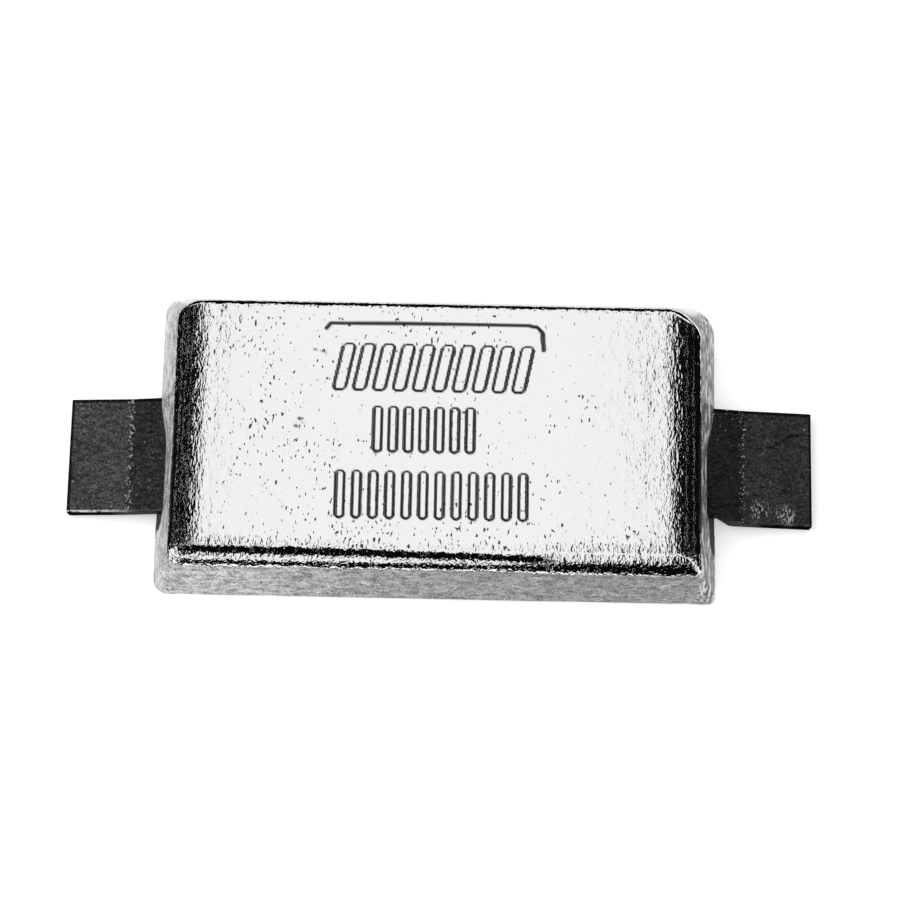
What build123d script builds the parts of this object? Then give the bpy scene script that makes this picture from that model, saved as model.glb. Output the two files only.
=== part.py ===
from build123d import *
import math
import os

# Weld-on hull anode: a slab of cast zinc with a flat steel bar running through it.
# The bar is cranked, so that its two ends lean down to the hull as weld tabs.
# Millimetres. The origin is the middle of the slab's back, on the hull plane.
# +X runs along the slab and the bar, and +Z points away from the hull.

# Zinc slab, measured at its back
slab_length = 304.8
slab_width = 169.0
slab_height = 34.9
draft_angle = 20.0  # every wall leans in by this much, so that the slab leaves its mould
face_edge_radius = 12.5  # the round between the face and the near and end walls
far_edge_radius = 3.5  # the face's far edge is tight
back_edge_radius = 1.2

# The four upright corners. The casting has one broad corner and one that is nearly square.
left_corner_radius = 9.0
far_right_corner_radius = 17.0
near_right_corner_radius = 5.0

# Steel bar
bar_width = 63.5
bar_thickness = 7.94
bar_edge_radius = 0.8  # the rolled long edges
bar_offset = -9.8  # the bar lies this far off the slab's middle, across it
bend_radius = 12.0  # on the bar's middle line
tab_angle = 6.5  # each tab leans down until its tip meets the hull
crank_angle = 12.0  # the steeper run from the tab up into the zinc
crank_reach = 15.0  # the bar changes its slope this far outside the slab
left_tab_reach = 47.0  # how far each tip stands out of the slab
right_tab_reach = 51.0

# Nick in the right tab's near edge, where it goes into the zinc
nick_depth = 3.8
nick_reach = 7.0  # where its slanted side starts, outside the slab
nick_inside = 9.0

# Shallow hollow in each end wall, where the mould is stopped up round the bar
hollow_depth = 1.6
hollow_height = 13.0
hollow_lift = 10.5  # its middle, above the hull plane
hollow_beyond = 17.0  # how far it runs past the bar's near edge

slab_end = slab_length / 2


def rise(run, angle):
    """How far a slope at this angle climbs over a level run."""
    return run * math.tan(math.radians(angle))


def bar_route():
    """Corner points of the bar's middle line, as (along, up), from the left tip to the right."""
    tip_level = bar_thickness / 2 * math.cos(math.radians(tab_angle))
    core_level = slab_height / 2
    route = []
    for side, reach in ((-1, left_tab_reach), (1, right_tab_reach)):
        bend_level = tip_level + rise(reach - crank_reach, tab_angle)
        climb = (core_level - bend_level) / math.tan(math.radians(crank_angle))
        bend = slab_end + crank_reach
        half = [
            (side * (slab_end + reach), tip_level),
            (side * bend, bend_level),
            (side * (bend - climb), core_level),
        ]
        route += half if side < 0 else half[::-1]
    return route


def upright_edges(slab, along, across):
    """The run of edges at one corner of the slab, from its back up to its face."""
    return [
        edge
        for edge in slab.edges()
        if edge.center().X * along > slab_length / 3
        and edge.center().Y * across > slab_width / 3
        and abs((edge @ 1 - edge @ 0).Z) > back_edge_radius
    ]


def drafted_slab(width, middle, edge_radius, corners):
    """A slab with leaning walls, one radius round its face and one for each corner named.

    A corner broader than the face's edge is rounded before that edge, a tighter one after it.
    """
    with BuildPart() as slab:
        with BuildSketch():
            with Locations((0, middle)):
                Rectangle(slab_length, width)
        extrude(amount=slab_height, taper=draft_angle)
        for (along, across), radius in corners.items():
            if radius > edge_radius:
                fillet(upright_edges(slab, along, across), radius=radius)
        fillet(slab.faces().sort_by(Axis.Z)[-1].edges(), radius=edge_radius)
        for (along, across), radius in corners.items():
            if radius <= edge_radius:
                fillet(upright_edges(slab, along, across), radius=radius)
    return slab.part


# The bar: one rounded section carried along the cranked line, then nicked.
with BuildPart() as steel_strap:
    with BuildLine(Plane.XZ.offset(-bar_offset)) as bar_line:
        FilletPolyline(*bar_route(), radius=bend_radius)
    tip = Plane(origin=bar_line.line @ 0, x_dir=(0, 1, 0), z_dir=bar_line.line % 0)
    with BuildSketch(tip):
        RectangleRounded(bar_width, bar_thickness, bar_edge_radius)
    sweep()
    near_edge = bar_offset - bar_width / 2
    with BuildSketch(Plane.XY):
        with BuildLine():
            Polyline(
                (slab_end + nick_reach, near_edge),
                (slab_end, near_edge + nick_depth),
                (slab_end - nick_inside, near_edge + nick_depth),
                (slab_end - nick_inside, near_edge - nick_depth),
                (slab_end + nick_reach, near_edge - nick_depth),
                close=True,
            )
        make_face()
    extrude(amount=slab_height, mode=Mode.SUBTRACT)

# The zinc: what two drafted slabs share. One has the tight far edge with its two corners, and the
# other has the broad rounds of the face's other edges, and runs on past the far wall.
with BuildPart() as zinc_casting:
    far_corners = {(-1, 1): left_corner_radius, (1, 1): far_right_corner_radius}
    near_corners = {(-1, -1): left_corner_radius, (1, -1): near_right_corner_radius}
    add(drafted_slab(slab_width, 0, far_edge_radius, far_corners))
    run_on = slab_width / 2
    add(
        drafted_slab(slab_width + run_on, run_on / 2, face_edge_radius, near_corners),
        mode=Mode.INTERSECT,
    )
    fillet(zinc_casting.faces().sort_by(Axis.Z)[0].edges(), radius=back_edge_radius)

    # Each hollow is a barrel, thickest in its middle, that bites into the leaning end wall.
    barrel_radius = ((hollow_height / 2) ** 2 + hollow_depth**2) / (2 * hollow_depth)
    end_radius = barrel_radius - hollow_depth
    half_span = (bar_width + hollow_beyond) / 2
    hollow_middle = bar_offset - hollow_beyond / 2
    axis_out = slab_end - rise(hollow_lift, draft_angle) + end_radius
    for side in (-1, 1):
        axis_point = (side * axis_out, hollow_middle, hollow_lift)
        with BuildSketch(Plane(origin=axis_point, x_dir=(-side, 0, 0), z_dir=(0, 0, -side))):
            with BuildLine():
                ThreePointArc((end_radius, -half_span), (barrel_radius, 0), (end_radius, half_span))
                Polyline((end_radius, half_span), (0, half_span), (0, -half_span), (end_radius, -half_span))
            make_face()
        revolve(axis=Axis(axis_point, (0, 1, 0)), mode=Mode.SUBTRACT)

    # The bar fills its own seat in the zinc from end to end.
    add(steel_strap.part, mode=Mode.SUBTRACT)

steel_strap.part.label = "steel_strap"
zinc_casting.part.label = "zinc_casting"

os.makedirs("parts", exist_ok=True)
export_step(steel_strap.part, "parts/steel_strap.step")
export_step(zinc_casting.part, "parts/zinc_casting.step")
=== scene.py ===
"""Looks of a weld-on hull anode: a slab of cast zinc with a flat steel bar running through it.

Sizes are in millimetres, and the meshes are written in metres. The origin is the middle of the
slab's back, +X runs along the slab and the bar, and +Z points out of the front face.
"""

from __future__ import annotations
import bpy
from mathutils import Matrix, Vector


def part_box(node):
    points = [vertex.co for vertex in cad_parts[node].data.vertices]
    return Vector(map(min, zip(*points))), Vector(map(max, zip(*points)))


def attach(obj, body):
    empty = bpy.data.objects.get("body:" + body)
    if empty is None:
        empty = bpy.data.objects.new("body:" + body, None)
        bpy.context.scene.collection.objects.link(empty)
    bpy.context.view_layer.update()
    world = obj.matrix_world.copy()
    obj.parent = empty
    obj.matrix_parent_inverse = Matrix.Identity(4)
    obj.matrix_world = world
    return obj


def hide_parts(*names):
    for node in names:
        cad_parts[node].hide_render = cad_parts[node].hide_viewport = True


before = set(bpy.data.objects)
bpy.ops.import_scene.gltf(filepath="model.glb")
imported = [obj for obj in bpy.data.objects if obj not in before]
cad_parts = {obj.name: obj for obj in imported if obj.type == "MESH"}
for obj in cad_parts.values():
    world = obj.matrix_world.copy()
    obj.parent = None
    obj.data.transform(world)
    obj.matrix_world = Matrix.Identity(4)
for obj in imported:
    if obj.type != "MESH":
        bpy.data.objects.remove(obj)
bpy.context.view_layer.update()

import logging
import math
from dataclasses import dataclass, field
from enum import Enum
from functools import partial, reduce

import bpy
import numpy as np
from mathutils import Euler, Matrix, Vector

MM = 0.001
Socket = bpy.types.NodeSocket
# Places along a card: the place, its drift, and the angles where the card starts and ends.
Stations = list[tuple[float, float, float, float]]
# Points of the face, or of the bar, as (along, across).
Spots = tuple[tuple[float, float], ...]
log = logging.getLogger("anode")


class Side(Enum):
    """The slab's four sides, as the level direction that each one faces."""

    LEFT = (-1, 0)
    RIGHT = (1, 0)
    NEAR = (0, -1)
    FAR = (0, 1)


class Lean(Enum):
    """How the raised pads of a row stand, as the sideways shift over their height."""

    UPRIGHT = 0.0
    SLANTED = 0.2


def smoothstep(low: float, high: float, value: np.ndarray) -> np.ndarray:
    """Rises from 0 at low to 1 at high, level at both ends.

    Args:
        low: Where the rise starts.
        high: Where the rise is over.
        value: The numbers to pass through it.

    Returns:
        3q^2 - 2q^3 of the share q of the way from low to high, kept between 0 and 1.
    """
    q = np.clip((value - low) / (high - low), 0.0, 1.0)
    return q * q * (3.0 - 2.0 * q)


@dataclass(frozen=True)
class WaveField:
    """A random rippling of space: a sum of plane waves with seeded directions and phases."""

    seed: int
    shortest: float
    longest: float
    stretch: tuple[float, float, float] = (1.0, 1.0, 1.0)
    count: int = 70

    def at(self, points: np.ndarray) -> np.ndarray:
        """Works out the rippling at each point.

        Each wave is sin(k.p + phase). Its direction is spread evenly over the sphere and its
        length evenly over the logarithm of the range, and a longer wave is higher, so that all
        slopes are alike. Stretch draws the ripples out along an axis.

        Args:
            points: An array whose last axis is (x, y, z) in millimetres.

        Returns:
            The height at each point, with a standard deviation of about 1.
        """
        rng = np.random.default_rng(self.seed)
        heading = rng.normal(size=(self.count, 3))
        heading /= np.linalg.norm(heading, axis=1, keepdims=True)
        span = np.exp(rng.uniform(math.log(self.shortest), math.log(self.longest), self.count))
        phase = rng.uniform(0.0, 2.0 * math.pi, self.count)
        waves = heading * (2.0 * math.pi / span)[:, None] / np.array(self.stretch)
        total = np.zeros(points.shape[:-1])
        for wave, length, shift in zip(waves, span, phase):
            total += length * np.sin(points @ wave + shift)
        return total / math.sqrt(0.5 * float((span**2).sum()))


@dataclass
class Surface:
    """A mesh in the making: points in millimetres with its faces, as whole arrays.

    Steepness holds a number from 0 to 1 for each point, or nothing.
    """

    name: str
    points: np.ndarray
    quads: np.ndarray
    triangles: np.ndarray = field(default_factory=lambda: np.zeros((0, 3), dtype=int))
    steepness: np.ndarray | None = None

    def build(self) -> bpy.types.Object:
        """Puts the arrays into a smooth mesh, in metres.

        Returns:
            The new object, which sits at the origin.
        """
        mesh = bpy.data.meshes.new(self.name)
        mesh.from_pydata((self.points * MM).tolist(), [], self.quads.tolist() + self.triangles.tolist())
        mesh.polygons.foreach_set("use_smooth", np.ones(len(mesh.polygons), dtype=bool))
        if self.steepness is not None:
            layer = mesh.attributes.new("steepness", "FLOAT", "POINT")
            layer.data.foreach_set("value", self.steepness.astype(np.float32))
        mesh.update()
        made = bpy.data.objects.new(self.name, mesh)
        bpy.context.scene.collection.objects.link(made)
        return made


def grid_quads(rows: int, columns: int, closed: bool = False) -> np.ndarray:
    """Lists the quads of a grid of points that are numbered row by row.

    Args:
        rows: How many rows of points there are.
        columns: How many points are in a row.
        closed: Whether each row's last point joins its first.

    Returns:
        An array of four point numbers for each quad, turning from the row to the column.
    """
    row = np.arange(rows - 1)[:, None]
    column = np.arange(columns if closed else columns - 1)[None, :]
    after = (column + 1) % columns
    here, there = row * columns, (row + 1) * columns
    return np.stack([here + column, there + column, there + after, here + after], axis=-1).reshape(-1, 4)


class Bench:
    """The node tree of a material or a world, with short calls to add and join its nodes."""

    def __init__(self, name: str, world: bool = False) -> None:
        """Starts a material, or a world, whose tree holds only its output.

        Args:
            name: Its name.
            world: Whether it is a world.
        """
        self.owner = (bpy.data.worlds if world else bpy.data.materials).new(name)
        self.owner.use_nodes = True
        self.tree = self.owner.node_tree
        self.tree.nodes.clear()
        self.output = self.tree.nodes.new("ShaderNodeOutputWorld" if world else "ShaderNodeOutputMaterial")

    def node(self, kind: str, settings: dict | None = None, **inputs: object) -> bpy.types.Node:
        """Adds one node.

        Args:
            kind: The node's type, without its ShaderNode prefix.
            settings: Values of the node's own properties.
            **inputs: Values or other nodes' outputs for its sockets, by name with _ for a space,
                or by number as in_0.

        Returns:
            The new node.
        """
        made = self.tree.nodes.new("ShaderNode" + kind)
        for key, value in (settings or {}).items():
            setattr(made, key, value)
        for key, value in inputs.items():
            spot = int(key[3:]) if key.startswith("in_") else key.replace("_", " ")
            if isinstance(value, Socket):
                self.tree.links.new(value, made.inputs[spot])
            else:
                made.inputs[spot].default_value = value
        return made

    def close(self, shader: bpy.types.Node) -> bpy.types.ID:
        """Joins the shader to the output, and returns the finished material or world."""
        self.tree.links.new(shader.outputs[0], self.output.inputs[0])
        return self.owner

    def maths(self, operation: str, first: object, second: object = 0.0) -> Socket:
        """Adds a Math node and returns its result."""
        return self.node("Math", {"operation": operation}, in_0=first, in_1=second).outputs[0]

    def fade(self, value: object, low: float, high: float,
             start: float = 0.0, end: float = 1.0) -> Socket:
        """Maps value from low..high to start..end with a smooth ramp, and returns the result."""
        return self.node("MapRange", {"interpolation_type": "SMOOTHSTEP"}, Value=value,
                         From_Min=low, From_Max=high, To_Min=start, To_Max=end).outputs[0]

    def noise(self, place: object, scale: float, detail: float, roughness: float = 0.6) -> Socket:
        """Adds a noise of this scale on these coordinates, and returns its level."""
        return self.node("TexNoise", Vector=place, Scale=scale, Detail=detail,
                         Roughness=roughness).outputs[0]

    def stretched(self, place: object, scale: tuple[float, float, float]) -> Socket:
        """Scales the coordinates along each axis, and returns them."""
        return self.node("Mapping", Vector=place, Scale=scale).outputs[0]

    def split(self, place: object) -> tuple[Socket, ...]:
        """Takes coordinates or a direction apart into X, Y and Z."""
        return tuple(self.node("SeparateXYZ", Vector=place).outputs)

    def product(self, *factors: object) -> Socket:
        """Multiplies any number of values, and returns the result."""
        return reduce(partial(self.maths, "MULTIPLY"), factors)

    def total(self, *parts: object) -> Socket:
        """Adds any number of values up, and returns the result."""
        return reduce(partial(self.maths, "ADD"), parts)

    def largest(self, *values: object) -> Socket:
        """Picks the largest of any number of values, and returns it."""
        return reduce(partial(self.maths, "MAXIMUM"), values)

    def weigh(self, value: object, weight: float, middle: float = 0.0) -> Socket:
        """Multiplies what value is over the middle by the weight, and returns the result."""
        return self.maths("MULTIPLY", self.maths("SUBTRACT", value, middle), weight)

    def coat(self, colour: Socket, *coats: tuple[Socket, float]) -> Socket:
        """Lays neutral shades over a colour, one after another.

        Args:
            colour: The colour underneath.
            *coats: For each shade, the share that it covers and its level.

        Returns:
            The colour on top.
        """
        for share, shade in coats:
            colour = self.blend(share, colour, grey(shade))
        return colour

    def blend(self, share: object, first: object, second: object) -> Socket:
        """Mixes two colours by share, and returns the mixed colour."""
        return self.node("Mix", {"data_type": "RGBA"}, in_0=share, in_6=first, in_7=second).outputs[2]

    def seen(self) -> Socket:
        """Tells with 1 that a ray comes straight from the camera, or from a polish or glass."""
        rays = self.node("LightPath").outputs
        return self.largest(rays["Is Camera Ray"], rays["Is Glossy Ray"], rays["Is Transmission Ray"])


def grey(level: float) -> tuple[float, float, float, float]:
    """A neutral colour of this level."""
    return (level, level, level, 1.0)


@dataclass(frozen=True)
class ZincFinish:
    """Bright cast zinc: a glossy, dimpled skin on the face, and a matt flow skin on the walls."""

    name: str = "cast_zinc_skin"
    bright: float = 0.88
    dark_reflection_shade: float = 0.08
    skin_gloss: float = 0.08
    wall_shade: float = 0.48
    wall_swing: float = 0.36
    wall_metal: float = 0.35
    wall_gloss: float = 0.5
    wall_top: float = 0.0276
    bar_shadow_shade: float = 0.02
    far_painted_reflection: float = 0.97
    relief: float = 0.00026

    def skin(self, bench: Bench, place: Socket) -> tuple[Socket, Socket]:
        """Makes the face's skin: fine dimples drawn out across the slab, and scattered pinholes.

        The dimples are shallow on the face and deep where it turns down to an end. The near and the
        far edge are pitted all over, and the pinholes gather in patches, more on the left. The
        pinholes are sunk a little and painted near black, a painted dark reflection.

        Args:
            bench: The material's bench.
            place: The Object coordinates.

        Returns:
            The skin's height and its colour.
        """
        along, across, _ = bench.split(place)
        left = bench.fade(along, -0.1200, -0.1290, 0.0, 0.62)
        right = bench.fade(along, 0.1170, 0.1280, 0.0, 0.52)
        near = bench.fade(across, -0.0560, -0.0645)
        far = bench.fade(across, 0.0685, 0.0715, 0.0, 1.0)
        depth = bench.total(0.20, left, right, bench.weigh(near, 0.6))
        drawn = bench.stretched(place, (1.0, 0.42, 1.0))
        fine = bench.noise(drawn, 1000.0, 1.0, 0.5)
        broad = bench.noise(drawn, 430.0, 1.0, 0.5)
        patches = bench.noise(place, 28.0, 3.0)
        grit = bench.noise(drawn, 700.0, 1.0, 0.4)
        crowd = bench.total(patches, bench.fade(along, -0.14, 0.10, 0.08, -0.02),
                            bench.fade(across, -0.040, -0.062, 0.0, 0.14))
        limit = bench.fade(crowd, 0.40, 0.72, 0.76, 0.65)
        # Pinholes: a small dip in height, and painted near black as a painted dark reflection.
        pinhole_and_dark_reflection = bench.fade(bench.maths("SUBTRACT", grit, limit), 0.0, 0.03)
        dimple = bench.total(bench.weigh(fine, 0.60), bench.weigh(broad, 1.0))
        jag = bench.weigh(bench.noise(place, 560.0, 1.0, 0.5), 1.0, 0.5)
        calm = bench.fade(across, -0.0680, -0.0705, 0.5, 1.2)
        edge = bench.product(jag, bench.total(bench.product(near, calm), bench.weigh(far, 2.2)))
        height = bench.maths("SUBTRACT", bench.product(dimple, depth), bench.weigh(pinhole_and_dark_reflection, 0.5))
        return bench.total(height, edge), bench.blend(pinhole_and_dark_reflection, grey(self.bright), grey(self.dark_reflection_shade))

    def painted_bar_shadow(self, bench: Bench, place: Socket) -> Socket:
        """Paints the bar's shadow: a dark patch at the bar's near edge, low on each end wall.

        The patch is a wedge: its top sinks in a straight line from beside the bar to the hull.

        Args:
            bench: The material's bench.
            place: The Object coordinates.

        Returns:
            The share of painted shadow.
        """
        along, across, up = bench.split(place)
        ragged = bench.noise(place, 330.0, 2.0)
        foot = bench.fade(along, -0.05, 0.05, -0.0530, -0.0605)
        climb = bench.weigh(bench.maths("SUBTRACT", across, foot), 0.9)
        top = bench.total(bench.maths("MINIMUM", climb, 0.0115), bench.weigh(ragged, 0.005, 0.5))
        below = bench.fade(bench.maths("SUBTRACT", top, up), -0.0004, 0.0006)
        out = bench.fade(bench.maths("ABSOLUTE", along), 0.1450, 0.1460)
        return bench.product(below, bench.fade(across, -0.0330, -0.0345), out)

    def wall(self, bench: Bench, place: Socket, facing: Socket) -> tuple[Socket, Socket]:
        """Makes the walls' skin: level laps of cold metal and a sandy grain, with painted light and
        shade: a dark back edge of painted contact shade, painted side light, a painted reflection
        on the far wall and the bar's painted shadow.

        Args:
            bench: The material's bench.
            place: The Object coordinates.
            facing: How squarely the surface faces the far side.

        Returns:
            The skin's height and its colour.
        """
        along, _, up = bench.split(place)
        ripple = bench.noise(bench.stretched(place, (150.0, 150.0, 400.0)), 1.0, 3.0)
        grain = bench.noise(place, 1000.0, 1.0)
        tone = bench.fade(bench.total(bench.weigh(ripple, 0.5), bench.weigh(grain, 0.5)), 0.33, 0.67)
        low, high = grey(self.wall_shade - self.wall_swing), grey(self.wall_shade + self.wall_swing)
        end = bench.fade(bench.maths("ABSOLUTE", along), 0.1405, 0.1430)
        end = bench.product(end, bench.fade(along, -0.01, 0.01, 0.45, 1.0))
        streak = bench.noise(bench.stretched(place, (640.0, 120.0, 300.0)), 1.0, 2.0)
        lap = bench.noise(bench.stretched(place, (46.0, 46.0, 170.0)), 1.0, 2.0)
        edge = bench.fade(bench.maths("ABSOLUTE", bench.weigh(lap, 1.0, 0.5)), 0.012, 0.002, 0.0, 0.55)
        colour = bench.coat(
            bench.blend(tone, low, high),
            # Painted shade: the walls darken toward +X, away from the lamp.
            (bench.fade(along, -0.13, 0.0, 0.0, 0.46), 0.1),
            # Painted contact shade: the walls darken toward the back edge, where they meet the floor.
            (bench.fade(up, 0.0022, 0.0004, 0.0, 0.6), 0.16),
            # Painted light: the left end wall, which faces the lamp, is lightened.
            (bench.fade(along, -0.143, -0.149, 0.0, 0.15), 0.95),
            (bench.product(end, bench.fade(streak, 0.53, 0.62, 0.0, 0.85)), 0.95),
            (bench.product(end, bench.fade(streak, 0.47, 0.38, 0.0, 0.80)), 0.08),
            # Painted reflection: the wall that faces the far side is made near white, as if mirroring the
            # bright floor.
            (bench.fade(facing, 0.62, 0.80, 0.0, 0.85), self.far_painted_reflection),
            (edge, 0.92),
            # Painted shadow of the bar on each end wall, below the bar's near edge.
            (self.painted_bar_shadow(bench, place), self.bar_shadow_shade),
        )
        return bench.total(bench.weigh(ripple, 1.8), bench.weigh(grain, 1.0), bench.weigh(edge, 0.8)), colour

    def make(self) -> bpy.types.Material:
        """Builds the material on Object coordinates.

        The walls' skin starts below the round, lower on the right and highest on the far side, and
        the steep sides of the face's marks are rougher and painted near black, a painted reflection.

        Returns:
            The finished material.
        """
        bench = Bench(self.name)
        place = bench.node("TexCoord").outputs["Object"]
        along, _, up = bench.split(place)
        ragged = bench.weigh(bench.noise(place, 520.0, 2.0), 0.0026, 0.5)
        facing = bench.split(bench.node("NewGeometry").outputs["Normal"])[1]
        lower = bench.fade(along, 0.02, 0.08, 0.0, 0.0009)
        level = bench.total(up, ragged, lower, bench.fade(facing, 0.20, 0.60, 0.0, -0.0034))
        matt = bench.fade(level, self.wall_top + 0.0005, self.wall_top - 0.0005)
        skin, bright = self.skin(bench, place)
        cold, dull = self.wall(bench, place, facing)
        # Painted reflection: the steep sides of the marks are painted near black and made rougher.
        painted_dark_flank = bench.node("Attribute", {"attribute_name": "steepness"}).outputs["Fac"]
        bright = bench.blend(bench.weigh(painted_dark_flank, 0.97), bright, grey(self.dark_reflection_shade * 0.3))
        relief = bench.node("Mix", {"data_type": "FLOAT"}, in_0=matt, in_2=skin, in_3=cold).outputs[0]
        bump = bench.node("Bump", Strength=1.0, Distance=self.relief, Height=relief)
        gloss = bench.fade(bench.largest(matt, painted_dark_flank), 0.0, 1.0, self.skin_gloss, self.wall_gloss)
        metal = bench.fade(matt, 0.0, 1.0, 1.0, self.wall_metal)
        shader = bench.node("BsdfPrincipled", Base_Color=bench.blend(matt, bright, dull), Metallic=metal,
                            Roughness=gloss, Normal=bump.outputs[0])
        return bench.close(shader)


@dataclass(frozen=True)
class SteelFinish:
    """Dark hot-rolled steel under its mill scale, worn bright along its near arris, with a painted glint
    there.
    """

    name: str = "black_bar_scale"
    scale_shade: float = 0.080
    inner_shade: float = 0.038
    right_painted_shade: float = 0.54
    swing: float = 0.62
    fleck_shade: float = 0.60
    worn_glint_shade: float = 0.95
    gloss: float = 0.42
    bend_at: float = 0.1660
    near_edge: float = -0.04155
    far_edge: float = 0.02195
    left_tip: float = -0.1994
    right_tip: float = 0.2034
    scuff_spots: Spots = ((0.1750, -0.0335), (0.1895, -0.0360))
    relief: float = 0.0004

    def rim(self, bench: Bench, along: Socket, across: Socket) -> Socket:
        """Darkens the last millimetre or two along the far edge and the two tips.

        Args:
            bench: The material's bench.
            along: The X coordinate.
            across: The Y coordinate.

        Returns:
            The factor for the colour, less than 1 at the edges.
        """
        far = bench.fade(across, self.far_edge - 0.0026, self.far_edge - 0.0014)
        left = bench.fade(along, self.left_tip + 0.0014, self.left_tip + 0.0008)
        right = bench.fade(along, self.right_tip - 0.0011, self.right_tip - 0.0006)
        return bench.fade(bench.largest(far, left, right), 0.0, 1.0, 1.0, 0.14)

    def scratch(self, bench: Bench, along: Socket, across: Socket) -> Socket:
        """Draws one curved dark scratch over the right tab.

        Args:
            bench: The material's bench.
            along: The X coordinate.
            across: The Y coordinate.

        Returns:
            The factor for the colour, less than 1 in the scratch.
        """
        curve = bench.fade(along, 0.1800, 0.1950, 0.0018, 0.0092)
        off = bench.maths("ABSOLUTE", bench.maths("SUBTRACT", across, curve))
        reach = bench.product(bench.fade(along, 0.1775, 0.1800), bench.fade(along, 0.1985, 0.1960))
        return bench.maths("SUBTRACT", 1.0, bench.product(bench.fade(off, 0.0009, 0.0003), reach, 0.7))

    def scuffs(self, bench: Bench, place: Socket) -> Socket:
        """Scatters short bright strokes over two scuffed spots at the right tab's near edge.

        Args:
            bench: The material's bench.
            place: The Object coordinates.

        Returns:
            The share of bright steel.
        """
        along, across, _ = bench.split(place)
        spots = []
        for x, y in self.scuff_spots:
            aside, beyond = bench.weigh(along, 1.0, x), bench.weigh(across, 1.0, y)
            squared = bench.total(bench.product(aside, aside), bench.product(beyond, beyond))
            spots.append(bench.fade(bench.maths("SQRT", squared), 0.0075, 0.0020))
        strokes = bench.noise(bench.stretched(place, (1250.0, 480.0, 600.0)), 1.0, 1.0)
        return bench.product(bench.largest(*spots), bench.fade(strokes, 0.56, 0.60))

    def make(self) -> bpy.types.Material:
        """Builds the material on Object coordinates.

        The bar is darker from the bend inward, and painted shade darkens its right half and its sides
        that face -Y. Its grain is strong. A ragged row of light flecks marks the bend, and the near
        top arris is worn bright and carries a painted glint.

        Returns:
            The finished material.
        """
        bench = Bench(self.name)
        place = bench.node("TexCoord").outputs["Object"]
        along, across, _ = bench.split(place)
        out = bench.maths("ABSOLUTE", along)
        streak = bench.noise(bench.stretched(place, (240.0, 520.0, 520.0)), 1.0, 2.0)
        grain = bench.noise(place, 880.0, 1.0)
        cloud = bench.noise(place, 75.0, 3.0)
        wander = bench.noise(place, 190.0, 3.0)

        line = bench.total(out, bench.weigh(wander, 0.006, 0.5))
        inner = bench.fade(line, self.bend_at + 0.0008, self.bend_at - 0.0008)
        beside = bench.fade(bench.maths("ABSOLUTE", bench.weigh(line, 1.0, self.bend_at)), 0.0028, 0.0006)
        body = bench.blend(inner, grey(self.scale_shade), grey(self.inner_shade))
        # Painted shade: the bar's right half, away from the lamp, is darker.
        side = bench.fade(along, -0.01, 0.01, 1.0, self.right_painted_shade)
        mixed = bench.total(bench.weigh(grain, 0.6), bench.weigh(streak, 0.4))
        swing = bench.fade(mixed, 0.36, 0.64, 1.0 - self.swing, 1.0 + self.swing)
        soft = bench.fade(cloud, 0.3, 0.7, 0.85, 1.15)
        normal = bench.split(bench.node("NewGeometry").outputs["Normal"])
        # Painted shade: surfaces that face -Y, the bar's near side faces, are darkened.
        flank = bench.fade(normal[1], -0.45, -0.80, 1.0, 0.22)
        marks = bench.product(self.rim(bench, along, across), self.scratch(bench, along, across), flank)
        factor = bench.product(side, swing, soft, marks)
        body = bench.node("VectorMath", {"operation": "SCALE"}, in_0=body, Scale=factor).outputs[0]

        beside = bench.product(beside, bench.fade(along, -0.01, 0.01, 0.15, 0.13))
        fewer = bench.fade(along, -0.01, 0.01, 0.0, -0.02)
        specks = bench.total(grain, beside, bench.weigh(cloud, 0.10), fewer)
        fleck = bench.largest(bench.fade(specks, 0.770, 0.81, 0.0, 0.7), self.scuffs(bench, place))
        # The near top arris: worn bright steel with a painted glint, on its upward-facing part, strongest on
        # the left.
        arris = bench.fade(across, self.near_edge + 0.0014, self.near_edge + 0.0009)
        worn_and_glint = bench.product(arris, bench.fade(normal[2], 0.25, 0.6), bench.fade(streak, 0.36, 0.50),
                             bench.fade(along, -0.158, -0.188, 0.05, 1.0))
        body = bench.coat(body, (fleck, self.fleck_shade), (worn_and_glint, self.worn_glint_shade))
        relief = bench.total(bench.weigh(streak, 0.5), bench.weigh(grain, 0.7))
        bump = bench.node("Bump", Strength=1.0, Distance=self.relief, Height=relief)
        shader = bench.node("BsdfPrincipled", Base_Color=body, Metallic=0.7, Roughness=self.gloss,
                            Specular_Tint=grey(0.25), Normal=bump.outputs[0])
        return bench.close(shader)


@dataclass(frozen=True)
class PadRow:
    """A row of plain raised pads on the face, where the casting carries its marks."""

    left: float
    right: float
    low: float
    high: float
    count: int
    pad_width: float
    lean: Lean = Lean.UPRIGHT

    def height(self, x: np.ndarray, y: np.ndarray, rise: float, flank: float) -> np.ndarray:
        """How high the pads stand at each place of the face.

        A pad is a box with rounded ends. With d the distance to its outline, less than nothing
        inside, its height climbs smoothly from 0 at d = flank to the rise at d = 0.

        Args:
            x: Places along the slab.
            y: Places across the slab.
            rise: The pads' height.
            flank: The width of their sloping sides.

        Returns:
            The height at each place, from 0 to the rise.
        """
        middle = 0.5 * (self.low + self.high)
        shifted = x - self.lean.value * (y - middle)
        pitch = (self.right - self.left - self.pad_width) / (self.count - 1)
        index = np.clip(np.round((shifted - self.left - 0.5 * self.pad_width) / pitch), 0, self.count - 1)
        off = np.abs(shifted - (self.left + 0.5 * self.pad_width + index * pitch))
        half = 0.5 * (self.high - self.low)
        corner = 0.35 * self.pad_width
        wide = off - (0.5 * self.pad_width - corner)
        tall = np.abs(y - middle) - (half - corner)
        beyond = np.hypot(np.maximum(wide, 0.0), np.maximum(tall, 0.0))
        outside = beyond + np.minimum(np.maximum(wide, tall), 0.0)
        return rise * smoothstep(flank, 0.0, outside - corner)


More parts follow.
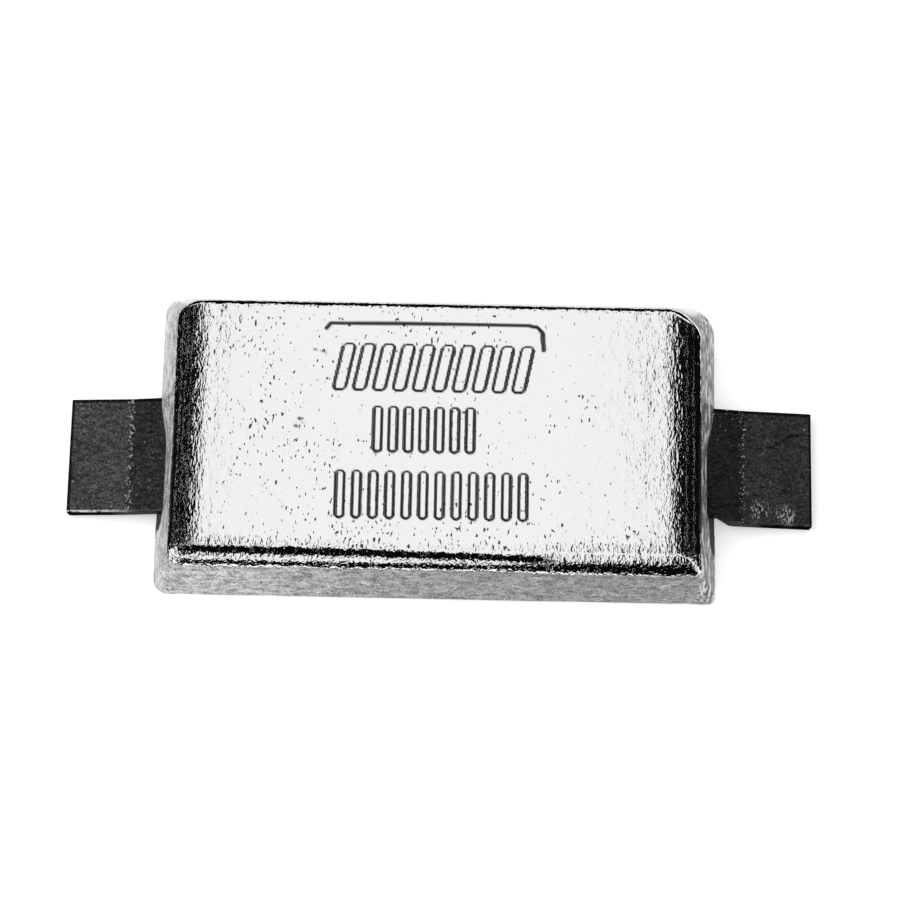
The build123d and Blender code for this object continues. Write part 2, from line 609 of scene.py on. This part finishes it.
def distance_to_line(x: np.ndarray, y: np.ndarray, corners: Spots) -> np.ndarray:
    """Distance from each place to a broken line.

    For each straight run, the nearest point is the foot of the perpendicular, kept on the run.

    Args:
        x: Places along the slab.
        y: Places across the slab.
        corners: The line's corner points.

    Returns:
        The distance to the nearest run.
    """
    nearest = np.full(x.shape, np.inf)
    for (x0, y0), (x1, y1) in zip(corners[:-1], corners[1:]):
        run = (x1 - x0, y1 - y0)
        share = np.clip(((x - x0) * run[0] + (y - y0) * run[1]) / (run[0] ** 2 + run[1] ** 2), 0.0, 1.0)
        nearest = np.minimum(nearest, np.hypot(x - x0 - share * run[0], y - y0 - share * run[1]))
    return nearest


@dataclass(frozen=True)
class FaceMarks:
    """What the mould leaves on the face: pads, the line of its insert, a scratch and pits."""

    rows: tuple[PadRow, ...] = (
        PadRow(-53.3, 48.7, 23.5, 48.5, 10, 5.6, Lean.SLANTED),
        PadRow(-33.4, 19.7, -10.5, 13.5, 7, 3.4),
        PadRow(-52.7, 48.5, -47.0, -22.5, 12, 3.4),
    )
    rise: float = 0.68
    flank: float = 0.9
    insert: Spots = (
        (-61.0, 57.5), (-58.5, 60.6), (-20.0, 60.9), (48.0, 61.2), (53.5, 60.2), (56.4, 56.8), (57.0, 47.0)
    )
    insert_depth: float = 0.38
    scratch: Spots = ((-95.0, -30.0), (-86.0, -38.0), (-74.0, -49.5), (-64.5, -58.0))
    scratch_depth: float = 0.10
    pits: tuple[tuple[float, float, float], ...] = (
        (-74.0, 6.5, 1.3), (-71.5, 4.0, 1.1), (-75.5, 2.5, 1.0), (-66.0, 45.5, 1.5), (-62.5, 44.8, 1.1)
    )
    pit_depth: float = 0.35

    def height(self, x: np.ndarray, y: np.ndarray) -> np.ndarray:
        """Works out how high the marks stand over the flat face.

        Each is a height that depends on the distance to its outline, and they are added up.

        Args:
            x: Places along the slab.
            y: Places across the slab.

        Returns:
            The height at each place, less than nothing in the grooves and pits.
        """
        relief = sum(row.height(x, y, self.rise, self.flank) for row in self.rows)
        relief = relief - self.insert_depth * smoothstep(1.0, 0.1, distance_to_line(x, y, self.insert))
        relief = relief - self.scratch_depth * smoothstep(1.0, 0.2, distance_to_line(x, y, self.scratch))
        for pit_x, pit_y, size in self.pits:
            relief = relief - self.pit_depth * smoothstep(size, 0.0, np.hypot(x - pit_x, y - pit_y))
        return relief


@dataclass
class ZincCasting:
    """The slab: one casting with leaning walls, broad and tight rounds and a dimpled skin.

    Its face lies a little lower than the CAD casting's, so that the pads stay inside that box.
    """

    length: float = 304.8
    width: float = 169.0
    height: float = 34.05
    draft: float = math.radians(20.0)
    face_round: float = 12.5
    far_round: float = 3.5
    back_round: float = 1.2
    corner_far_left: float = 12.0
    corner_near_left: float = 9.0
    corner_near_right: float = 5.0
    corner_far_right: float = 18.5
    corner_margin: float = 12.0
    hollow_depth: float = 1.6
    hollow_height: float = 13.0
    hollow_lift: float = 10.5
    hollow_low: float = -58.55
    hollow_high: float = 21.95
    dip: float = 0.38
    dip_reach: float = 7.0
    lip_start: float = -6.0
    lip_level: float = 16.0
    lip_reach: float = 3.4
    fine_step: float = 0.66
    plain_step: float = 1.8
    level_steps: tuple[int, int, int] = (14, 14, 4)
    back_rings: int = 10
    clearance: float = 0.02
    swell_height: float = 0.05
    dimple_height: float = 0.010
    round_dimple_height: float = 0.018
    ripple_height: float = 0.07
    far_edge_height: float = 0.09
    back_level: float = 0.12
    back_height: float = 0.1
    fine_along: tuple[float, float] = (-63.0, 60.0)
    fine_across: tuple[float, float] = (-50.0, 62.5)
    marks: FaceMarks = FaceMarks()
    finish: ZincFinish = ZincFinish()

    def bands(self) -> tuple[float, float, float]:
        """Measures an end from the flat face down: each length is a radius times an angle, or straight.

        Returns:
            The lengths of the face's round, the wall and the back's round.
        """
        d, big, small = self.draft, self.face_round, self.back_round
        top = self.height - big + big * math.sin(d)
        low = small * (1.0 + math.sin(d))
        return big * (0.5 * math.pi - d), (top - low) / math.cos(d), small * (0.5 * math.pi + d)

    def flat_half(self, whole: float, big: float) -> float:
        """Half of the face's flat part, for the slab's whole length or width and a face round."""
        return 0.5 * whole - (self.height - big) * math.tan(self.draft) - big / math.cos(self.draft)

    def side_profile(self, t: np.ndarray) -> tuple[np.ndarray, np.ndarray, np.ndarray]:
        """Follows an end or the near side down from the edge of the flat face.

        The side is an arc of the face's round, then a straight wall that leans by the draft, and
        then an arc of the back's round. A place on it is given by t, the length from the edge of
        the flat, and a t below nothing lies on the flat.

        Args:
            t: Lengths down the side.

        Returns:
            The reach beyond the flat's edge, the height over the hull, and the slope of the
            surface's normal over the level, all for each t.
        """
        d, big, small = self.draft, self.face_round, self.back_round
        arc, wall, tail = self.bands()
        turned = np.clip(t, 0.0, arc) / big
        down = np.clip(t - arc, 0.0, wall)
        under = np.clip(t - arc - wall, 0.0, tail) / small
        reach = np.minimum(t, 0.0) + big * np.sin(turned) + down * math.sin(d)
        reach = reach + small * (np.cos(d - under) - math.cos(d))
        level = self.height - big * (1.0 - np.cos(turned)) - down * math.cos(d)
        level = level + small * (np.sin(d - under) - math.sin(d))
        return reach, level, 0.5 * math.pi - turned - under

    def far_reach(self, t: np.ndarray, reach: np.ndarray, level: np.ndarray) -> np.ndarray:
        """Reach of the far side, which has the tight round, at the levels of the other sides.

        Over its own round it is the circle's half chord at that level. Below, it runs on the
        leaning wall, which is as far out as the other sides' walls.

        Args:
            t: Lengths down the other sides.
            reach: Their reach.
            level: Their height over the hull.

        Returns:
            The far side's reach beyond its own flat edge.
        """
        d, tight = self.draft, self.far_round
        top = self.height - tight * (1.0 - math.sin(d))
        chord = np.sqrt(np.maximum(tight**2 - (level - self.height + tight) ** 2, 0.0))
        lean = tight * math.cos(d) + (top - level) * math.tan(d)
        shift = self.flat_half(self.width, self.face_round) - self.flat_half(self.width, tight)
        down = np.where(level > top, chord, np.where(t < self.bands()[0], lean, reach + shift))
        return np.where(t < 0.0, t, down)

    def lines(self, low: float, high: float, fine_low: float, fine_high: float) -> np.ndarray:
        """Spaces the grid's lines along one axis, unfolded past the flat's edges down the sides.

        Args:
            low: The flat's lower edge along the axis.
            high: Its upper edge.
            fine_low: Where the closely spaced part starts.
            fine_high: Where it ends.

        Returns:
            The lines' places, from one side's foot to the other's.
        """
        ends = np.cumsum((0.0,) + self.bands())
        down = [np.linspace(a, b, n + 1)[1:] for a, b, n in zip(ends[:-1], ends[1:], self.level_steps)]
        side = np.concatenate(down)
        stops = (low, fine_low, fine_high, high)
        steps = (self.plain_step, self.fine_step, self.plain_step)
        counts = [max(1, round((b - a) / step)) for a, b, step in zip(stops[:-1], stops[1:], steps)]
        flat = [np.linspace(a, b, n + 1)[:-1] for a, b, n in zip(stops[:-1], stops[1:], counts)]
        return np.concatenate([low - side[::-1], *flat, [high], high + side])

    def spread(self, past: np.ndarray, t: np.ndarray, reach: np.ndarray) -> np.ndarray:
        """Lays the unfolded stretch next to a corner evenly on the side's own length.

        The stretch from corner_margin inside the flat's edge to the unfolded corner, at t, is
        shrunk or stretched to end at the level's reach.

        Args:
            past: Place along the side, measured from the flat's corner.
            t: Length down the side.
            reach: How far the side runs past the flat's corner at that level.

        Returns:
            The place along the side, measured from the flat's corner.
        """
        share = (past + self.corner_margin) / np.maximum(t + self.corner_margin, 1e-9)
        even = np.clip(share, 0.0, 1.0) * (reach + self.corner_margin) - self.corner_margin
        return np.where(past > -self.corner_margin, even, past)

    def fold(self, unfolded_x: np.ndarray, unfolded_y: np.ndarray) -> tuple[np.ndarray, np.ndarray]:
        """Folds the flat grid over the slab's plain form.

        With X and Y measured beyond the flat's edges, t is the larger of the two, and the place
        goes to the level that side_profile gives for t. There it lies on a rectangle, whose
        corners are then drawn in to a circle: with q the share of the way from the circle's
        middle to the rectangle, a point moves inward by q^4 times what the corner moves.

        Args:
            unfolded_x: The grid's places along X.
            unfolded_y: The grid's places along Y.

        Returns:
            The points as an array of rows, columns and (x, y, z), and t at each of them.
        """
        half_x = self.flat_half(self.length, self.face_round)
        far, right = unfolded_y > 0.0, unfolded_x > 0.0
        half_near, half_far = (self.flat_half(self.width, big) for big in (self.face_round, self.far_round))
        half_y = np.where(far, half_far, half_near)
        past_x, past_y = np.abs(unfolded_x) - half_x, np.abs(unfolded_y) - half_y
        t = np.maximum(past_x, past_y)
        reach, level, slope = self.side_profile(t)
        reach_y = np.where(far, self.far_reach(t, reach, level), reach)
        on_end = past_x >= past_y
        x = half_x + np.where(on_end, reach, self.spread(past_x, t, reach))
        y = half_y + np.where(on_end, self.spread(past_y, t, reach_y), reach_y)

        edge_x, edge_y = half_x + reach, half_y + reach_y
        edge_x, edge_y = np.where(t < 0.0, half_x, edge_x), np.where(t < 0.0, half_y, edge_y)
        inset = 0.5 * self.width - level * math.tan(self.draft) - edge_y
        corner_right = np.where(far, self.corner_far_right, self.corner_near_right)
        corner_left = np.where(far, self.corner_far_left, self.corner_near_left)
        corner = np.where(right, corner_right, corner_left)
        shrink = np.where(slope < self.draft, 1.0, np.cos(slope) / math.cos(self.draft))
        radius = corner * math.cos(self.draft) * np.where(far, 1.0, shrink) - np.where(far, inset, 0.0)
        middle_x = np.where(far, edge_y + 0.5 * (self.length - self.width), edge_x) - radius
        middle_y = edge_y - radius
        off_x, off_y = x - middle_x, y - middle_y
        wide, tall = edge_x - middle_x, edge_y - middle_y
        inside = (off_x > 0.0) & (off_y > 0.0) & (wide > 1e-6) & (tall > 1e-6) & (radius > 1e-6)
        share = np.maximum(off_x / np.maximum(wide, 1e-6), off_y / np.maximum(tall, 1e-6))
        far_off = np.hypot(off_x, off_y)
        keep = np.minimum(radius * share / np.maximum(far_off, 1e-6), 1.0)
        pull = np.where(inside, 1.0 - (1.0 - keep) * np.clip(share, 0.0, 1.0) ** 4, 1.0)
        x, y = middle_x + off_x * pull, middle_y + off_y * pull
        return np.stack([np.sign(unfolded_x) * x, np.sign(unfolded_y) * y, level], axis=-1), t

    def press_hollows(self, points: np.ndarray) -> np.ndarray:
        """Sinks the barrel hollow into each end wall, round the bar.

        A barrel lies across the slab with its axis off the wall. Its radius swells in a circular
        arc from its ends, where it only touches the wall, to its middle, where it bites in by
        the hollow's depth. A point of the wall inside the barrel goes back to the barrel's skin.
        At the barrel's far end a lip of zinc swells out over the bar's corner, with smooth
        ramps along the wall and up it.

        Args:
            points: The slab's points.

        Returns:
            The points with the hollows and the lips.
        """
        depth, half_span = self.hollow_depth, 0.5 * (self.hollow_high - self.hollow_low)
        radius = ((0.5 * self.hollow_height) ** 2 + depth**2) / (2.0 * depth)
        bulge = (half_span**2 + depth**2) / (2.0 * depth)
        off = points[..., 1] - 0.5 * (self.hollow_high + self.hollow_low)
        skin = radius - bulge + np.sqrt(np.maximum(bulge**2 - off**2, 0.0))
        rise = points[..., 2] - self.hollow_lift
        axis = 0.5 * self.length - self.hollow_lift * math.tan(self.draft) + radius - depth
        cut = axis - np.sqrt(np.maximum(skin**2 - rise**2, 0.0))
        out = np.abs(points[..., 0])
        inside = (np.abs(off) < half_span) & (np.abs(rise) < skin) & (out > 0.4 * self.length)
        out = np.where(inside, np.minimum(out, cut), out)
        y, z = points[..., 1], points[..., 2]
        lip = smoothstep(self.lip_start, self.hollow_high - 2.0, y)
        lip = lip * smoothstep(self.hollow_high + 6.0, self.hollow_high, y)
        lip = lip * smoothstep(self.lip_level - 12.0, self.lip_level - 1.0, z)
        lip = lip * smoothstep(self.lip_level + 9.0, self.lip_level + 1.0, z)
        out = np.where(out > 0.4 * self.length, out + self.lip_reach * lip, out)
        return np.stack([np.sign(points[..., 0]) * out, y, z], axis=-1)

    def skin(self, points: np.ndarray, t: np.ndarray) -> np.ndarray:
        """How far the cast skin stands off the plain form at each point.

        The face sags and swells gently and dips where it comes to an end's round, by a ramp along
        X and another back. The rounds are hammered by the mould's coating, the far edge more than
        the others, and the walls carry long, level ripples of cold metal.

        Args:
            points: The slab's points.
            t: Lengths down the side.

        Returns:
            The height along the normal, in millimetres.
        """
        arc = self.bands()[0]
        on_round = smoothstep(-6.0, 2.0, t) * smoothstep(arc + 3.0, arc - 1.0, t)
        on_wall = smoothstep(arc - 1.0, arc + 3.0, t)
        past = np.abs(points[..., 0]) - self.flat_half(self.length, self.face_round)
        dip = smoothstep(-self.dip_reach, 4.5, past) * smoothstep(11.5, 4.5, past)
        swell = self.swell_height * WaveField(11, 28.0, 80.0).at(points) - self.dip * dip
        hammer_height = self.dimple_height + self.round_dimple_height * on_round
        hammered = hammer_height * WaveField(12, 4.0, 11.0).at(points)
        ripples = self.ripple_height * on_wall * WaveField(13, 3.6, 9.0, (7.0, 7.0, 1.0)).at(points)
        far_flat = self.flat_half(self.width, self.far_round)
        far_edge = smoothstep(far_flat - 0.8, far_flat + 1.2, points[..., 1]) * smoothstep(arc, 0.0, t)
        pitted = self.far_edge_height * far_edge * WaveField(15, 3.6, 7.0).at(points)
        return swell + hammered + ripples + pitted

    def shape(self) -> Surface:
        """Works out the whole casting as one closed surface.

        Returns:
            The surface, with its back closed by rings that shrink evenly to the middle.
        """
        half_x = self.flat_half(self.length, self.face_round)
        near, far = (self.flat_half(self.width, big) for big in (self.face_round, self.far_round))
        x_lines = self.lines(-half_x, half_x, *self.fine_along)
        y_lines = self.lines(-near, far, *self.fine_across)
        plain, t = self.fold(*np.meshgrid(x_lines, y_lines))
        plain = self.press_hollows(plain)
        normal = np.cross(np.gradient(plain, axis=1), np.gradient(plain, axis=0))
        normal /= np.maximum(np.linalg.norm(normal, axis=-1, keepdims=True), 1e-12)
        relief = np.where(t < 0.0, self.marks.height(plain[..., 0], plain[..., 1]), 0.0)
        points = plain + normal * (self.skin(plain, t) + relief)[..., None]
        lowest, highest = self.limits()
        points = np.clip(points, lowest, highest)
        rows, columns = t.shape
        number = np.arange(rows * columns).reshape(rows, columns)
        rim = np.concatenate([number[0, :-1], number[:-1, -1], number[-1, :0:-1], number[:0:-1, 0]])
        flat_points = points.reshape(-1, 3)
        shrink = np.linspace(1.0, 0.0, self.back_rings + 1)[1:-1]
        rings = flat_points[rim][None] * np.stack([shrink, shrink, shrink], axis=-1)[:, None]
        rings[..., 2] = self.back_level + self.back_height * WaveField(14, 9.0, 40.0).at(rings)
        rings = np.clip(rings, lowest, highest)
        back = np.concatenate([rings.reshape(-1, 3), [[0.0, 0.0, 0.1]]])
        steep = np.concatenate([self.steepness(plain, relief).ravel(), np.zeros(len(back))])
        around = len(rim)
        order = np.concatenate([rim, np.arange(len(back) - 1) + rows * columns])
        quads = order[grid_quads(self.back_rings, around, closed=True)]
        last = order[-around:]
        fan = np.stack([last, np.full(around, rows * columns + len(back) - 1), np.roll(last, -1)], axis=-1)
        front = grid_quads(rows, columns)[:, ::-1]
        every_point, every_quad = np.concatenate([flat_points, back]), np.concatenate([front, quads])
        return Surface("zinc_slab", every_point, every_quad, fan, steep)

    def steepness(self, plain: np.ndarray, relief: np.ndarray) -> np.ndarray:
        """Tells how steep the face's marks are.

        It is the length of the relief's gradient, taken over the two neighbours each way, and
        passed through a smooth ramp. The bottom of a groove or pit counts as steep too.

        Args:
            plain: The points of the plain form.
            relief: The height of the marks over it.

        Returns:
            A number from 0 on the level to 1 on a mark's side.
        """
        step_x = np.maximum(np.abs(np.gradient(plain[..., 0], axis=1)), 0.3)
        step_y = np.maximum(np.abs(np.gradient(plain[..., 1], axis=0)), 0.3)
        slope = np.hypot(np.gradient(relief, axis=1) / step_x, np.gradient(relief, axis=0) / step_y)
        return np.maximum(smoothstep(0.10, 0.34, slope), smoothstep(0.10, 0.26, -relief))

    def limits(self) -> tuple[np.ndarray, np.ndarray]:
        """Lowest and highest corner of the CAD casting, drawn in by the clearance."""
        low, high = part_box("zinc_casting")
        return np.array(low) / MM + self.clearance, np.array(high) / MM - self.clearance

    def build(self) -> bpy.types.Object:
        """Makes the casting and dresses it.

        Returns:
            The finished object, which stands for the CAD casting.
        """
        slab = self.shape().build()
        slab.data.materials.append(self.finish.make())
        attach(slab, "root")
        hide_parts("zinc_casting")
        return slab


@dataclass
class SteelBar:
    """The flat bar, whose two ends stick out of the slab as weld tabs."""

    finish: SteelFinish = SteelFinish()

    def build(self) -> bpy.types.Object:
        """Dresses the CAD bar.

        Returns:
            The CAD node's own object with its new material.
        """
        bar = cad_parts["steel_strap"]
        bar.data.materials.clear()
        bar.data.materials.append(self.finish.make())
        return bar


@dataclass
class Studio:
    """A pale floor under an even white sky, with black cards that only the polish reflects.

    Rounds gives, for each side, where the flat face ends, the radius of its round there, and the
    camera's own angle off straight up, toward that side.
    """

    floor_shade: float = 0.9
    floor_lift: float = 0.35
    sky_light: float = 0.76
    floor_half: float = 4000.0
    floor_level: float = -0.05
    face_level: float = 34.05
    card_shade: float = 0.004
    card_steps: int = 25
    floor_gap: float = 0.5
    lamp_power: float = 12.0
    lamp_size: tuple[float, float] = (1.4, 1.0)
    lamp_place: tuple[float, float, float] = (-0.9, 0.2, 1.5)
    camera_tilt: float = math.radians(14.92)
    camera_turn: float = math.radians(0.3)
    camera_roll: float = math.radians(1.21)
    camera_aim: tuple[float, float, float] = (7.2, -0.33, 0.0)
    camera_distance: float = 1554.19
    focal_pixels: float = 2837.86
    image_pixels: float = 900.0
    sensor_width: float = 36.0
    rounds: dict[Side, tuple[float, float, float]] = field(
        default_factory=lambda: {
            Side.LEFT: (131.3, 12.5, 5.8),
            Side.RIGHT: (131.3, 12.5, 4.6),
            Side.NEAR: (63.4, 12.5, -12.0),
            Side.FAR: (69.7, 3.5, 17.6),
        }
    )

    def floor(self) -> bpy.types.Object:
        """Lays the pale floor: a flat grid, matt, and a little brighter where it is seen or mirrored.

        Returns:
            The floor.
        """
        grid = np.linspace(-self.floor_half, self.floor_half, 9)
        x, y = np.meshgrid(grid, grid)
        points = np.stack([x.ravel(), y.ravel(), np.full(x.size, self.floor_level)], axis=-1)
        made = Surface("floor", points, grid_quads(*x.shape)[:, ::-1]).build()
        bench = Bench("pale_floor")
        paint = bench.node("BsdfDiffuse", Color=grey(self.floor_shade))
        lift = bench.node("Emission", Color=grey(1.0), Strength=self.floor_lift)
        dark = bench.node("Emission", Color=grey(0.0), Strength=0.0)
        gate = bench.node("MixShader", in_0=bench.seen(), in_1=dark.outputs[0], in_2=lift.outputs[0])
        both = bench.node("AddShader", in_0=paint.outputs[0], in_1=gate.outputs[0])
        made.data.materials.append(bench.close(both))
        return made

    def sky(self) -> None:
        """Makes the world white where the camera or a polish sees it, and lights evenly."""
        bench = Bench("white_sky", world=True)
        level = bench.node("MapRange", Value=bench.seen(), To_Min=self.sky_light, To_Max=1.0)
        bpy.context.scene.world = bench.close(
            bench.node("Background", Color=grey(1.0), Strength=level.outputs[0]))

    def card(self, name: str, side: Side, reach: float, stations: Stations) -> bpy.types.Object:
        """Hangs one black card, which is seen only in reflections.

        The camera sees a card's point in the slab's round where the round has turned down by half
        of what the ray's angle from straight up differs from the camera's own. The point lies on
        that ray: at the reach, or where the ray meets the floor, if that is nearer. With
        the ray the card's ends drift along the side, so that the card is no wider than the
        camera's own reflections need.

        Args:
            name: The card's name.
            side: The side of the slab that the card hangs on.
            reach: How far off the slab it hangs, along each ray.
            stations: For places along the card: the place at the slab, its drift for each
                millimetre of ray, and the angles where the card starts and ends.

        Returns:
            The card.
        """
        along, drift, low, high = np.array(stations).T
        angle = low[:, None] + (high - low)[:, None] * np.linspace(0.0, 1.0, self.card_steps)[None, :]
        turn = np.radians(angle)
        flat, tight, lean = self.rounds[side]
        turned = np.radians(np.clip(0.5 * (angle - lean), 0.0, 90.0))
        level = self.face_level - tight * (1.0 - np.cos(turned))
        ray = np.minimum(reach, (level - self.floor_gap) / np.maximum(-np.cos(turn), 1e-6))
        out = flat + tight * np.sin(turned) + ray * np.sin(turn)
        side_x, side_y = side.value
        place = along[:, None] + drift[:, None] * ray
        points = np.stack([side_x * out + abs(side_y) * place, side_y * out + abs(side_x) * place,
                           level + ray * np.cos(turn)], axis=-1)
        made = Surface(name, points.reshape(-1, 3), grid_quads(*turn.shape)).build()
        bench = Bench(name + "_cloth")
        made.data.materials.append(bench.close(bench.node("BsdfDiffuse", Color=grey(self.card_shade))))
        made.visible_camera = False
        made.visible_diffuse = False
        made.visible_shadow = False
        return made

    def cards(self) -> None:
        """Hangs the cards, each off one side, with its stations along it.

        The end cards have slits, so that the dimpled polish breaks them up into flecks. They and
        the corner cards hang far off, where the views from low down hardly mirror them. The cards
        on the camera's side and beyond it hang near the slab, where the views from above and from
        the ends don't.
        """
        left_spans = ((7.5, 26.0), (26.8, 50.0), (50.8, 74.0), (75.0, 130.0))
        right_spans = ((5.6, 34.0), (34.6, 66.0), (66.6, 128.0))
        ends = ((Side.LEFT, -200.0, -1100.0, left_spans), (Side.RIGHT, 200.0, 1100.0, right_spans))
        for side, near, beyond, spans in ends:
            name = side.name.lower()
            for number, (start, stop) in enumerate(spans):
                stations = [(-95.0, 0.13, start, stop), (95.0, 0.45, start, stop)]
                self.card(f"{name}_card_{number}", side, 1800.0, stations)
            self.card(f"{name}_corner_card", side, 900.0,
                      [(-1060.0, 0.0, 6.0, 36.0), (-95.0, 0.0, 6.0, 36.0)])
            self.card(f"near_corner_{name}", Side.NEAR, 900.0,
                      [(near, 0.0, 6.0, 36.0), (beyond, 0.0, 6.0, 36.0)])
        self.card("near_card_high", Side.NEAR, 45.0, [
            (-200.0, 0.0, -7.0, 25.0), (-48.0, 0.0, -2.0, 38.0), (35.0, 0.0, 12.0, 46.0),
            (62.0, 0.0, 19.0, 52.0)])
        self.card("near_card_low", Side.NEAR, 26.0, [
            (-260.0, 0.0, 67.0, 100.0), (30.0, 0.0, 66.0, 100.0), (58.0, 0.0, 57.0, 103.0)])
        self.card("near_card_top", Side.NEAR, 900.0, [
            (58.0, 0.032, 50.0, 54.0), (88.0, 0.051, 36.0, 54.0), (126.0, 0.076, 28.0, 54.0),
            (170.0, 0.105, 28.0, 54.0)])
        self.card("near_card_right", Side.NEAR, 45.0, [
            (58.0, 0.0, 54.0, 99.0), (70.0, 0.0, 50.0, 99.0), (200.0, 0.0, 50.0, 99.0)])
        self.card("near_card_foot", Side.NEAR, 90.0, [
            (58.0, 0.0, 99.0, 103.0), (88.0, 0.0, 99.0, 108.0), (126.0, 0.0, 99.0, 116.0),
            (260.0, 0.0, 99.0, 117.0)])
        self.card("far_card", Side.FAR, 18.0, [(-200.0, 0.0, 46.0, 138.0), (200.0, 0.0, 46.0, 138.0)])

    def lamps(self) -> None:
        """Hangs one broad soft lamp over the left end."""
        shine = bpy.data.lights.new("soft_lamp", "AREA")
        shine.shape = "RECTANGLE"
        shine.size, shine.size_y = self.lamp_size
        shine.energy = self.lamp_power
        lamp = bpy.data.objects.new("soft_lamp", shine)
        lamp.location = self.lamp_place
        lamp.rotation_euler = (0.0, math.atan2(self.lamp_place[0], self.lamp_place[2]), 0.0)
        lamp.visible_glossy = False
        lamp.visible_camera = False
        bpy.context.scene.collection.objects.link(lamp)

    def camera(self) -> None:
        """Stands the camera where the photograph's was.

        It looks down on the face from a little toward -Y. The numbers are a fit of the slab's
        and the tabs' outlines: the tilt off the face's normal, the turn about Y, the roll, the
        aim point on the hull plane and the distance from it.
        """
        lens = bpy.data.cameras.new("camera")
        lens.sensor_width = self.sensor_width
        lens.lens = self.focal_pixels / self.image_pixels * self.sensor_width
        lens.dof.use_dof = False
        seat = bpy.data.objects.new("camera", lens)
        turned = Euler((self.camera_tilt, self.camera_turn, self.camera_roll), "ZXY").to_matrix().to_4x4()
        place = Vector(self.camera_aim) + turned.col[2].xyz * self.camera_distance
        seat.matrix_world = Matrix.Translation(place * MM) @ turned
        bpy.context.scene.collection.objects.link(seat)
        bpy.context.scene.camera = seat

    def build(self) -> None:
        """Sets up floor, sky, cards, lamp and camera."""
        self.floor()
        self.sky()
        self.cards()
        self.lamps()
        self.camera()
        bpy.context.scene.view_settings.view_transform = "Standard"


def main() -> None:
    """Builds the studio and the pieces in order."""
    logging.basicConfig(level=logging.INFO, format="%(message)s")
    Studio().build()
    for maker in (ZincCasting(), SteelBar()):
        piece = maker.build()
        log.info("%s: %d faces", piece.name, len(piece.data.polygons))


if __name__ == "__main__":
    main()
